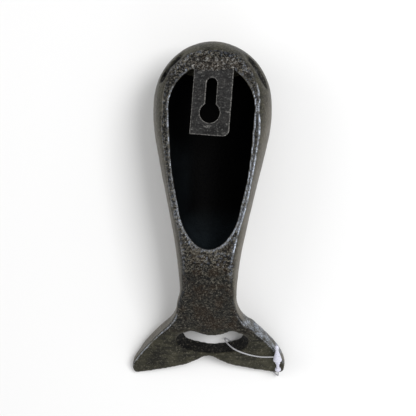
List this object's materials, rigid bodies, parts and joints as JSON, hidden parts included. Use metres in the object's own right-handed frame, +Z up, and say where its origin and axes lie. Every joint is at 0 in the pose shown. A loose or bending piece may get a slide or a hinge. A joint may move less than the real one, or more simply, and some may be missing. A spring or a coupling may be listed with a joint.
{
  "type": "bottle opener",
  "caption": "Hollow cast-iron whale wall bottle opener: open back with a keyhole hanger plate, and an opener slot through the tail flukes.",
  "frame": {"origin": "on the table under the middle of the casting's plan, the opener lying on its front", "axes": "+Y towards the whale's head along its length, +Z up out of the open back (towards the wall when hung), +X to the right seen from the back"},
  "size_m": [0.078, 0.1676, 0.036],
  "materials": {
    "cast_iron": "dark sand-cast surface with brown rust tints and worn grey edges",
    "hanger_steel": "dark painted steel sheet, worn bare along its edges",
    "braze": "rough lumpy braze, dark brown grey",
    "nylon": "clear to milky moulded nylon",
    "nylon_filament": "clear nylon filament"
  },
  "bodies": {
    "root": {"whale_body": "cast_iron", "keyhole_plate": "hanger_steel", "weld_bead": "braze", "tie_socket": "nylon", "tie_pin": "nylon", "tie_filament": "nylon_filament"}
  },
  "joints": []
}
